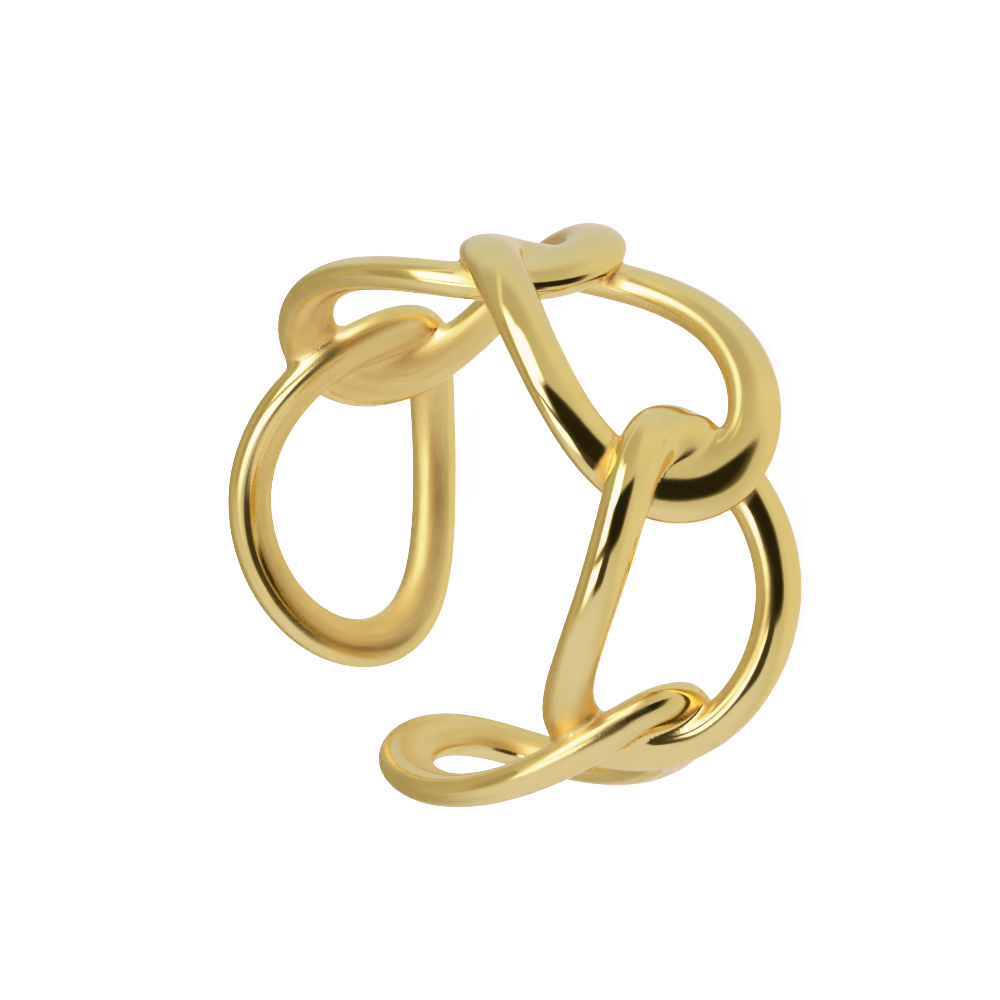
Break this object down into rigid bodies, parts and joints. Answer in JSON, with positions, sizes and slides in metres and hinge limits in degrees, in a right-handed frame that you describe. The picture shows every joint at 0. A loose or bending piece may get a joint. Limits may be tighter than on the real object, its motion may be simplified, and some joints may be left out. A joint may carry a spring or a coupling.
{
  "type": "open chain-link finger ring",
  "caption": "Open finger ring cast in one piece as a band of twisted oval chain links, polished gold colour, lying on its side.",
  "frame": {"origin": "on the surface that the ring lies on, below the middle of its box", "axes": "+Z along the ring's axis, up from the rim it lies on; the opening between the free ends faces -Y"},
  "size_m": [0.023, 0.0214, 0.0121],
  "materials": {
    "polished_gold": "polished gold plate outside, softer satin inside the ring"
  },
  "bodies": {
    "root": {"chain_band": "polished_gold"}
  },
  "joints": []
}
